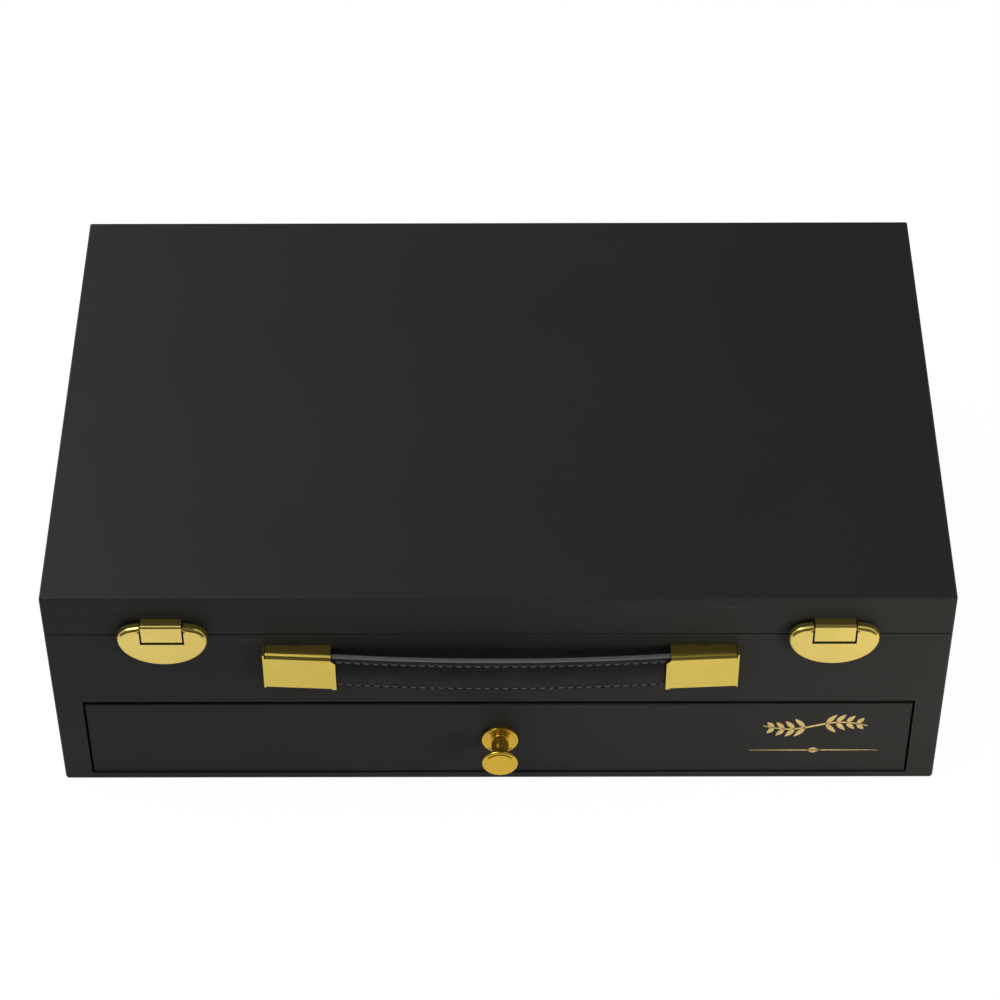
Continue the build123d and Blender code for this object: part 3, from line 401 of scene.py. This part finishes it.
FRONT_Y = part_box("base_front_board")[0].y
STRAP_LOW, STRAP_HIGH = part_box("handle_strap")
HANDLE_X = (STRAP_LOW.x + STRAP_HIGH.x) / 2
STRAP_HALF = STRAP_HIGH.x - HANDLE_X
STRAP_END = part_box("handle_strap_ends")[1].x - HANDLE_X
STRAP_STANDOFF = 4.2 * MM
STRAP_BULGE = 3.0 * MM
STRAP_THICKNESS = 2.9 * MM
STRAP_EDGE = 0.7 * MM
STRAP_EDGE_STEPS = 3
STRAP_STEPS = 90
CUT_EDGE_REACH = 0.6 * STRAP_EDGE
CAP_FLARE = 0.0505
CAP_MOUTH = 78.75 * MM
STITCH_PITCH = 4.3 * MM
STITCH_LENGTH = 3.0 * MM
STITCH_RADIUS = 0.36 * MM
STITCH_SLANT = 0.25 * MM
STITCH_SIDES = 6
STITCH_FROM_TOP = 3.0 * MM
STITCH_FROM_BOTTOM = 1.6 * MM
STITCH_GROOVE = 0.3 * MM
STITCH_GROOVE_HALF = 0.7 * MM
STITCH_ROWS = (STRAP_LOW.z + STITCH_FROM_BOTTOM, STRAP_HIGH.z - STITCH_FROM_TOP)
# Shares of the groove's half width and of its depth
GROOVE_PROFILE = ((-1, 0), (-0.5, 0.7), (0, 1), (0.5, 0.7), (1, 0))
# Shares of a stitch's length, and how far out it lies and how thick it is there in shares of its radius
STITCH_PROFILE = ((-0.5, -0.7, 0.5), (-0.4, 0.1, 0.9), (-0.15, 0.5, 1.0),
                  (0.15, 0.5, 1.0), (0.4, 0.1, 0.9), (0.5, -0.7, 0.5))


def strap_back(x):
    """How far the strap's back stands out of the wall at a distance from its middle."""
    if x > STRAP_HALF:
        return STRAP_STANDOFF - CAP_FLARE * (x - CAP_MOUTH)
    radius = (STRAP_HALF ** 2 + STRAP_BULGE ** 2) / (2 * STRAP_BULGE)
    ends = STRAP_STANDOFF - CAP_FLARE * (STRAP_HALF - CAP_MOUTH)
    rise = math.sqrt(radius ** 2 - x ** 2) - (radius - STRAP_BULGE)
    return ends + rise * (STRAP_STANDOFF + STRAP_BULGE - ends) / STRAP_BULGE


def strap_section():
    """The strap's outline as (out of the back, height) points: rounded edges and two stitching grooves."""
    back, front = STRAP_EDGE, STRAP_THICKNESS - STRAP_EDGE
    low, high = STRAP_LOW.z + STRAP_EDGE, STRAP_HIGH.z - STRAP_EDGE
    points = []
    for out, height, start in ((back, low, 180), (front, low, 270), (front, high, 0), (back, high, 90)):
        for step in range(STRAP_EDGE_STEPS + 1):
            angle = math.radians(start + 90 * step / STRAP_EDGE_STEPS)
            points.append((out + STRAP_EDGE * math.cos(angle), height + STRAP_EDGE * math.sin(angle)))
        if (out, height) == (front, low):
            for row in STITCH_ROWS:
                for across, sunk in GROOVE_PROFILE:
                    points.append((STRAP_THICKNESS - sunk * STITCH_GROOVE, row + across * STITCH_GROOVE_HALF))
    return points


def add_strap(name, side, surface, edge):
    """One half of the strap, from the middle into its cap, with its cut edges in their own material."""
    section = strap_section()
    rings = []
    for step in range(STRAP_STEPS + 1):
        x = STRAP_END * step / STRAP_STEPS
        back = strap_back(x)
        rings.append([(HANDLE_X + side * x, FRONT_Y - back - out, height) for out, height in section])
    shape = Shape()
    shape.add_skin(rings)
    middle = (STRAP_LOW.z + STRAP_HIGH.z) / 2
    cut_from = STRAP_HIGH.z - middle - CUT_EDGE_REACH
    cut = [len(face) == 4 and min(abs(shape.vertices[k][2] - middle) for k in face) > cut_from
           for face in shape.faces]
    strap = new_piece(name, shape, None, [surface, edge], [int(is_cut) for is_cut in cut])
    last_ring = len(shape.vertices) - len(section)
    for rim in strap.data.edges:
        ends = sorted(rim.vertices)
        rim.use_edge_sharp = ends[1] < len(section) or ends[0] >= last_ring
    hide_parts("handle_strap", "handle_strap_ends")
    return strap


def add_stitches(name, side, yarn):
    """Two rows of stitches on one half of the strap, each sunk at both ends."""
    shape = Shape()
    for row in STITCH_ROWS:
        for index in range(int(CAP_MOUTH / STITCH_PITCH)):
            rings = []
            for share, lift, thick in STITCH_PROFILE:
                x = (index + 0.5) * STITCH_PITCH + share * STITCH_LENGTH
                front = FRONT_Y - strap_back(x) - STRAP_THICKNESS + STITCH_GROOVE
                ring = []
                for k in range(STITCH_SIDES):
                    angle = 2 * math.pi * k / STITCH_SIDES
                    out = lift * STITCH_RADIUS + thick * STITCH_RADIUS * math.cos(angle)
                    up = thick * STITCH_RADIUS * math.sin(angle) + share * STITCH_SLANT
                    ring.append((HANDLE_X + side * x, front - out, row + up))
                rings.append(ring)
            shape.add_skin(rings)
    return new_piece(name, shape, None, [yarn])


def add_handle():
    """Both halves of the strap and their stitches, which bend out from the caps to the middle."""
    surface, edge, yarn = leather(), cut_leather(), thread()
    for side, hand in ((-1, "left"), (1, "right")):
        strap = add_strap(f"strap_{hand}_half", side, surface, edge)
        stitches = add_stitches(f"strap_stitches_{hand}", side, yarn)
        for piece in (strap, stitches):
            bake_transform(piece)


# Plain ornament stamped on the drawer front

ORNAMENT_CENTRE = (151.0 * MM, 31.0 * MM)
ORNAMENT_HALF_WIDTH = 31.0 * MM
INK_THICKNESS = 0.04 * MM
STROKE_STEPS = 24
STEM_HALF_WIDTH = 0.8 * ORNAMENT_HALF_WIDTH
STEM_HEIGHT = 8.0 * MM
STEM_WAVE = 2.5 * MM
LEAVES_EACH_WAY = 4
LEAF_LONGEST = 9.0 * MM
LEAF_SHORTER_BY = 1.0 * MM
LEAF_ANGLE = 52
LEAF_WIDTH = 2.3 * MM
LEAF_STEPS = 8
RULE_HEIGHT = -10.0 * MM
DIAMOND_HALF = 3.4 * MM
DIAMOND_WIDTH = 4.0 * MM
DIAMOND_STEPS = 8


def stem_point(share):
    """A point on the waving stem, at a share from -1 to 1 of its half width."""
    return STEM_HALF_WIDTH * share, STEM_HEIGHT + STEM_WAVE * math.sin(math.pi * share)


def leaf_point(foot, reach, rise, share):
    """A point on a leaf's curved middle, at a share from 0 to 1 of its length."""
    return foot[0] + reach * share, foot[1] + rise * share * (1.25 - 0.25 * share)


def add_ornament():
    """A sprig of leaves over a thin rule with a diamond, in gold foil."""
    face_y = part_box("drawer_front")[0].y
    shape = Shape()

    def stroke(points, widths):
        """Adds a thin raised ribbon of changing width along points."""
        rings = []
        for index, (x, z) in enumerate(points):
            before = points[max(index - 1, 0)]
            after = points[min(index + 1, len(points) - 1)]
            along = Vector((after[0] - before[0], after[1] - before[1])).normalized()
            half = widths[index] / 2
            left = (x - along.y * half, z + along.x * half)
            right = (x + along.y * half, z - along.x * half)
            rings.append([(ORNAMENT_CENTRE[0] + at[0], face_y - lift, ORNAMENT_CENTRE[1] + at[1])
                          for at, lift in ((left, 0), (left, INK_THICKNESS), (right, INK_THICKNESS), (right, 0))])
        shape.add_skin(rings)

    def swelling(thin, swell, shares):
        """Widths that swell in the middle of a stroke."""
        return [thin + swell * math.sin(math.pi * share) for share in shares]

    shares = [k / STROKE_STEPS for k in range(STROKE_STEPS + 1)]
    stroke([stem_point(2 * share - 1) for share in shares], swelling(0.5 * MM, 0.7 * MM, shares))
    leaf_shares = [k / LEAF_STEPS for k in range(LEAF_STEPS + 1)]
    for leaf in range(-LEAVES_EACH_WAY, LEAVES_EACH_WAY + 1):
        if leaf == 0:
            continue
        foot = stem_point(leaf / (LEAVES_EACH_WAY + 1))
        length = LEAF_LONGEST - abs(leaf) * LEAF_SHORTER_BY
        for angle in (math.radians(-LEAF_ANGLE), math.radians(LEAF_ANGLE)):
            reach, rise = math.copysign(length * math.cos(angle), leaf), length * math.sin(angle)
            stroke([leaf_point(foot, reach, rise, share) for share in leaf_shares],
                   swelling(0.25 * MM, LEAF_WIDTH, [share ** 0.8 for share in leaf_shares]))
    stroke([(ORNAMENT_HALF_WIDTH * (2 * share - 1), RULE_HEIGHT) for share in shares],
           swelling(0.2 * MM, 0.5 * MM, shares))
    across = [2 * k / DIAMOND_STEPS - 1 for k in range(DIAMOND_STEPS + 1)]
    stroke([(DIAMOND_HALF * share, RULE_HEIGHT) for share in across],
           [0.1 * MM + DIAMOND_WIDTH * (1 - abs(share)) for share in across])
    new_piece("drawer_ornament", shape, "drawer", [gold_ink()], smooth=False)


# Felt lining under the lid

LINING_COLUMNS, LINING_ROWS = 60, 36
LINING_TURN = 0.35 * MM


def add_lining():
    """The felt sheet glued under the lid, with the edges of its lower face turned up a little."""
    low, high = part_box("lid_lining")
    columns, rows = LINING_COLUMNS, LINING_ROWS
    shape = Shape()
    for z, turn in ((low.z, LINING_TURN), (high.z, 0.0)):
        for j in range(rows + 1):
            for i in range(columns + 1):
                at_rim = i in (0, columns) or j in (0, rows)
                shape.vertices.append((low.x + (high.x - low.x) * i / columns,
                                       low.y + (high.y - low.y) * j / rows, z + (turn if at_rim else 0.0)))
    across = columns + 1
    layer = across * (rows + 1)
    for j in range(rows):
        for i in range(columns):
            a = j * across + i
            shape.faces.append((a, a + across, a + across + 1, a + 1))
            shape.faces.append((a + layer, a + layer + 1, a + layer + across + 1, a + layer + across))
    rim = list(range(across))
    rim += [j * across + columns for j in range(1, rows + 1)]
    rim += [rows * across + i for i in range(columns - 1, -1, -1)]
    rim += [j * across for j in range(rows - 1, 0, -1)]
    for a, b in zip(rim, rim[1:] + rim[:1]):
        shape.faces.append((a, b, b + layer, a + layer))
    lining = new_piece("felt_lining", shape, "lid", [felt()], smooth=False)
    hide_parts("lid_lining")


# Contents

TUBE_COLUMNS = 8
TUBE_RADIUS = 11.5 * MM
TUBE_CRIMP_HALF = 13.5 * MM
TUBE_CRIMP_HALF_THICKNESS = 1.0 * MM
TUBE_CRIMP_LENGTH = 6.0 * MM
TUBE_SHOULDER_LENGTH = 4.0 * MM
TUBE_NECK_LENGTH = 5.0 * MM
TUBE_CAP_RADIUS = 7.0 * MM
TUBE_CAP_LENGTH = 13.0 * MM
PAPER = 0.12 * MM
CREAM = (0.72, 0.68, 0.56)
RULE_BROWN = (0.25, 0.14, 0.05)
PAINTS = ((0.80, 0.78, 0.72), (0.78, 0.62, 0.06), (0.75, 0.34, 0.02), (0.60, 0.05, 0.03), (0.36, 0.01, 0.04),
          (0.16, 0.02, 0.10), (0.02, 0.04, 0.30), (0.02, 0.13, 0.42), (0.01, 0.20, 0.24), (0.02, 0.16, 0.06),
          (0.16, 0.26, 0.03), (0.42, 0.24, 0.06), (0.24, 0.09, 0.03), (0.10, 0.05, 0.03), (0.05, 0.05, 0.06),
          (0.01, 0.01, 0.01))
# Where a tube's label has its edges and stripes, in shares of the tube's body from its crimped end
TUBE_LABEL_SHARES = (0.42, 0.45, 0.60, 0.63, 0.80, 0.83, 0.95)
TUBE_LABEL_STRIPES = (1, 2, 5)
TUBE_LABEL_SIDES = 40
BOTTLE_LABEL_HEIGHTS = (12 * MM, 16 * MM, 18 * MM, 48 * MM, 50 * MM, 54 * MM)
BOTTLE_LABEL_RULES = (1, 3)
BOTTLE_LABEL_SIDES = 64
RIB_WIDTH = 0.8 * MM
RIB_HEIGHT = 0.35 * MM
RIB_ROOT = 0.1 * MM
RIB_LOW_END = 0.4
# Shares of a rib's half width and of its height
RIB_PROFILE = ((-1, 0), (-0.5, 1), (0.5, 1), (1, 0))
RIB_LENGTH_SHARE = 0.75
TUBE_CAP_RIBS = 24
TUBE_RIB_START_SHARE = 0.15
BOTTLE_CAP_RIBS = 40
BOTTLE_RIB_START_SHARE = 0.1
BRUSHES = 3
BRUSH_WIDTH = 9.0 * MM
BRUSH_MARGIN = 0.15 * MM
STRANDS = 380
STRAND_RADII = (0.11 * MM, 0.15 * MM)
# The most by which a strand is shorter than the brush's hair, for its place and by chance
STRAND_SHORTER = (0.10, 0.05)
# Shares of a strand's length, and the brush's width and depth and the strand's thickness there
STRAND_PROFILE = ((0.0, 0.96, 0.9, 1.0), (0.5, 1.0, 0.95, 0.9), (1.0, 0.7, 0.62, 0.35))


def tube_places():
    """The middles of the tubes' columns along x."""
    low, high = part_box("paint_tubes")
    pitch = (high.x - low.x - 2 * TUBE_CRIMP_HALF) / (TUBE_COLUMNS - 1)
    return [low.x + TUBE_CRIMP_HALF + column * pitch for column in range(TUBE_COLUMNS)]


def circle(x, y, z, wide, tall, sides):
    """A ring of points round an axis along y."""
    angles = [2 * math.pi * k / sides for k in range(sides)]
    return [(x + wide * math.cos(angle), y, z + tall * math.sin(angle)) for angle in angles]


def add_ink(piece, tones):
    """Gives each face of a piece its printed colour."""
    ink = piece.data.color_attributes.new("ink", "FLOAT_COLOR", "CORNER")
    for polygon, tone in zip(piece.data.polygons, tones):
        for corner in polygon.loop_indices:
            ink.data[corner].color = (*tone, 1)


def add_tube_labels():
    """A paper band round each tube, with stripes of the paint's colour."""
    low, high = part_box("paint_tubes")
    full_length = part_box("paint_tube_caps")[0].y + TUBE_NECK_LENGTH - low.y
    body_length = full_length - TUBE_CRIMP_LENGTH - TUBE_SHOULDER_LENGTH - TUBE_NECK_LENGTH
    axis_z = high.z - TUBE_RADIUS
    places = [(x, start) for start in (low.y, high.y - full_length) for x in tube_places()]
    shape, tones = Shape(), []
    for (centre_x, start), paint in zip(places, PAINTS):
        rings = []
        for share in TUBE_LABEL_SHARES:
            wide = TUBE_CRIMP_HALF + (TUBE_RADIUS - TUBE_CRIMP_HALF) * share + PAPER
            tall = TUBE_CRIMP_HALF_THICKNESS + (TUBE_RADIUS - TUBE_CRIMP_HALF_THICKNESS) * share + PAPER
            y = start + TUBE_CRIMP_LENGTH + body_length * share
            rings.append(circle(centre_x, y, axis_z, wide, tall, TUBE_LABEL_SIDES))
        shape.add_skin(rings, closed_ends=False)
        for band in range(len(rings) - 1):
            tones += [paint if band in TUBE_LABEL_STRIPES else CREAM] * TUBE_LABEL_SIDES
    labels = new_piece("tube_labels", shape, "base", [printed_paper("label_paper")])
    add_ink(labels, tones)


def add_bottle_labels():
    """A paper band round each bottle, with two plain rules."""
    low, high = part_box("oil_bottles")
    radius = (high.z - low.z) / 2
    shape, tones = Shape(), []
    for centre_x in (low.x + radius, high.x - radius):
        rings = [circle(centre_x, low.y + height, low.z + radius, radius + PAPER, radius + PAPER,
                        BOTTLE_LABEL_SIDES) for height in BOTTLE_LABEL_HEIGHTS]
        shape.add_skin(rings, closed_ends=False)
        for band in range(len(rings) - 1):
            tones += [RULE_BROWN if band in BOTTLE_LABEL_RULES else CREAM] * BOTTLE_LABEL_SIDES
    labels = new_piece("bottle_labels", shape, "drawer", [printed_paper("bottle_paper")])
    add_ink(labels, tones)


def add_ribs(shape, centre, radius, start, length, count):
    """Small grip ribs along +Y round a cap."""
    end = start + length
    for k in range(count):
        angle = 2 * math.pi * k / count
        out = Vector((math.cos(angle), 0, math.sin(angle)))
        along = Vector((-math.sin(angle), 0, math.cos(angle)))
        rings = []
        for y, rise in ((start, RIB_LOW_END), (start + RIB_HEIGHT, 1), (end - RIB_HEIGHT, 1), (end, RIB_LOW_END)):
            foot = Vector((centre[0], y, centre[1])) + out * (radius - RIB_ROOT)
            rings.append([foot + along * share * RIB_WIDTH / 2 + out * lift * (RIB_ROOT + RIB_HEIGHT * rise)
                          for share, lift in RIB_PROFILE])
        shape.add_skin(rings)


def add_tube_cap_ribs(material):
    """Grip ribs on the tubes' caps."""
    low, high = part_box("paint_tube_caps")
    axis_z = high.z - TUBE_CAP_RADIUS
    shape = Shape()
    for start in (low.y, high.y - TUBE_CAP_LENGTH):
        for centre_x in tube_places():
            add_ribs(shape, (centre_x, axis_z), TUBE_CAP_RADIUS, start + TUBE_RIB_START_SHARE * TUBE_CAP_LENGTH,
                     RIB_LENGTH_SHARE * TUBE_CAP_LENGTH, TUBE_CAP_RIBS)
    new_piece("tube_cap_ribs", shape, "base", [material])


def add_bottle_cap_ribs(material):
    """Grip ribs on the bottles' caps."""
    low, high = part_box("oil_bottle_caps")
    radius = (high.z - low.z) / 2
    length = high.y - low.y
    shape = Shape()
    for centre_x in (low.x + radius, high.x - radius):
        add_ribs(shape, (centre_x, low.z + radius), radius, low.y + BOTTLE_RIB_START_SHARE * length,
                 RIB_LENGTH_SHARE * length, BOTTLE_CAP_RIBS)
    new_piece("bottle_cap_ribs", shape, "drawer", [material])


def add_bristles():
    """Hog bristles in the flat brushes, each strand narrowing to the tip."""
    low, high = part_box("brush_hair")
    bristle = plain("bristle", (0.52, 0.41, 0.25), 0.6, spread=0.3)
    pitch = (high.y - low.y - BRUSH_WIDTH) / (BRUSHES - 1)
    half_width = BRUSH_WIDTH / 2 - BRUSH_MARGIN
    half_depth = (high.z - low.z) / 2 - BRUSH_MARGIN
    middle_z = (low.z + high.z) / 2
    for index in range(BRUSHES):
        centre_y = low.y + BRUSH_WIDTH / 2 + index * pitch
        shape = Shape()
        for _ in range(STRANDS):
            angle = random.uniform(0, 2 * math.pi)
            spread = math.sqrt(random.random())
            across = spread * math.cos(angle) * half_width
            tall = spread * math.sin(angle) * half_depth
            thick = random.uniform(*STRAND_RADII)
            shorter = STRAND_SHORTER[0] * spread + STRAND_SHORTER[1] * random.random()
            length = (high.x - low.x) * (1 - shorter)
            shape.add_skin([[(low.x + length * share, centre_y + across * wide + thick * size * y,
                              middle_z + tall * deep + thick * size * z)
                             for y, z in ((-1, 0), (0, -1), (1, 0), (0, 1))]
                            for share, wide, deep, size in STRAND_PROFILE])
        tuft = new_piece(f"brush_bristles_{index + 1}", shape, "drawer", [bristle])
        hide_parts("brush_hair")


# Studio

AMBIENT = 0.7
FLOOR_REACH = 6.0
FLOOR_DROP = 0.2 * MM
FLOOR_GLOW = 0.97
FLOOR_GLOW_IN_METAL = 0.55
LAMP_TARGET = (0, 0, 0.08)
LOW_LAMP_TARGET = (0.2, -0.13, 0.06)
LOW_LAMP_TONE = (1.0, 0.94, 0.82)
CARD_NEAR, CARD_FAR = -0.285, -0.46
CARD_HALF_WIDTH = 1.5
CARD_HEIGHT = 0.24
CARD_RISE = 1.0 * MM


def add_world():
    """Surroundings that look white, also in or through a piece, and light the case more softly."""
    world = bpy.data.worlds.new("studio")
    bpy.context.scene.world = world
    world.use_nodes = True
    world.node_tree.nodes.clear()
    nodes = Nodes(world.node_tree)
    path = nodes.node("ShaderNodeLightPath").outputs
    seen = nodes.maths("MAXIMUM", path["Is Camera Ray"], path["Is Transmission Ray"])
    seen = nodes.maths("MAXIMUM", seen, path["Is Glossy Ray"])
    ambient = nodes.node("ShaderNodeBackground", {"Color": WHITE, "Strength": AMBIENT}).outputs[0]
    white = nodes.node("ShaderNodeBackground", {"Color": WHITE, "Strength": 1.0}).outputs[0]
    shown = nodes.node("ShaderNodeMixShader", {0: seen, 1: ambient, 2: white}).outputs[0]
    nodes.node("ShaderNodeOutputWorld", {"Surface": shown})


def add_rectangle(name, first, last, material):
    """A flat rectangle between two opposite corners, level or upright along x."""
    mesh = bpy.data.meshes.new(name)
    corners = [first, (last[0], first[1], first[2]), last, (first[0], last[1], last[2])]
    mesh.from_pydata(corners, [], [(0, 1, 2, 3)])
    mesh.materials.append(material)
    made = bpy.data.objects.new(name, mesh)
    bpy.context.scene.collection.objects.link(made)
    return made


def add_floor():
    """A white floor that keeps the case's shadow."""
    look = Look("floor")
    look.set(Base_Color=look.between(look.noise(2), 0.86, 0.88), Roughness=0.9)
    glow = look.node("ShaderNodeEmission", {"Color": WHITE, "Strength": 1.0})
    path = look.node("ShaderNodeLightPath").outputs
    seen = look.maths("MAXIMUM", path["Is Camera Ray"], path["Is Transmission Ray"])
    mirrored = look.maths("MULTIPLY", path["Is Glossy Ray"], FLOOR_GLOW_IN_METAL)
    share = look.maths("MAXIMUM", look.maths("MULTIPLY", seen, FLOOR_GLOW), mirrored)
    mixed = look.node("ShaderNodeMixShader", {0: share, 1: look.shader.outputs[0], 2: glow.outputs[0]})
    look.feed(look.tree.nodes["Material Output"].inputs["Surface"], mixed.outputs[0])
    floor = add_rectangle("floor", (-FLOOR_REACH, -FLOOR_REACH, 0), (FLOOR_REACH, FLOOR_REACH, 0), look.material)
    floor.location.z = -FLOOR_DROP


def add_lamp(name, place, target, size, power, tone=(1, 1, 1)):
    """A soft rectangular lamp aimed at a point."""
    lamp = bpy.data.lights.new(name, "AREA")
    lamp.shape = "RECTANGLE"
    lamp.size, lamp.size_y = size
    lamp.energy = power
    lamp.color = tone
    holder = bpy.data.objects.new(name, lamp)
    holder.location = place
    holder.rotation_euler = (Vector(target) - Vector(place)).to_track_quat("-Z", "Y").to_euler()
    bpy.context.scene.collection.objects.link(holder)
    return holder


def add_card(name, first, last, glow=0.0):
    """A card above or round the case, dark or softly glowing, which shows in reflections alone."""
    look = Look(name + "_paper")
    look.set(Base_Color=look.between(look.noise(3), 0.02, 0.03), Roughness=0.8,
             Emission_Color=WHITE, Emission_Strength=glow)
    card = add_rectangle(name, first, last, look.material)
    card.visible_camera = False
    card.visible_diffuse = False
    card.visible_shadow = False


def add_studio():
    """White surroundings and floor, soft lamps, and the cards that the brass and lacquer mirror."""
    bpy.context.scene.view_settings.view_transform = "Standard"
    add_world()
    add_floor()
    add_lamp("key", (-1.05, -0.4, 1.6), LAMP_TARGET, size=(1.3, 0.9), power=25)
    add_lamp("back", (-1.0, 0.9, 1.5), LAMP_TARGET, size=(0.9, 0.9), power=22)
    low = add_lamp("low", (0.55, -0.5, 0.13), LOW_LAMP_TARGET, size=(0.25, 0.2), power=6, tone=LOW_LAMP_TONE)
    low.visible_glossy = False
    side, far = CARD_HALF_WIDTH, CARD_FAR
    add_card("card_front_low", (-side, CARD_NEAR, CARD_RISE), (side, far, CARD_RISE))
    add_card("card_front", (-side, far, 0), (side, far, CARD_HEIGHT))
    add_card("card_wall", (-4, -2.3, 0), (4, -2.3, 2.7))
    add_card("card_above", (-0.2, -1.6, 2.3), (1.0, 0.5, 2.3))
    add_card("card_back", (-0.45, 2.2, 0.4), (4, 2.2, 3.6), glow=0.08)


add_camera()
add_studio()
dress_nodes()
add_handle()
add_ornament()
add_lining()
add_tube_labels()
add_bottle_labels()
add_bristles()
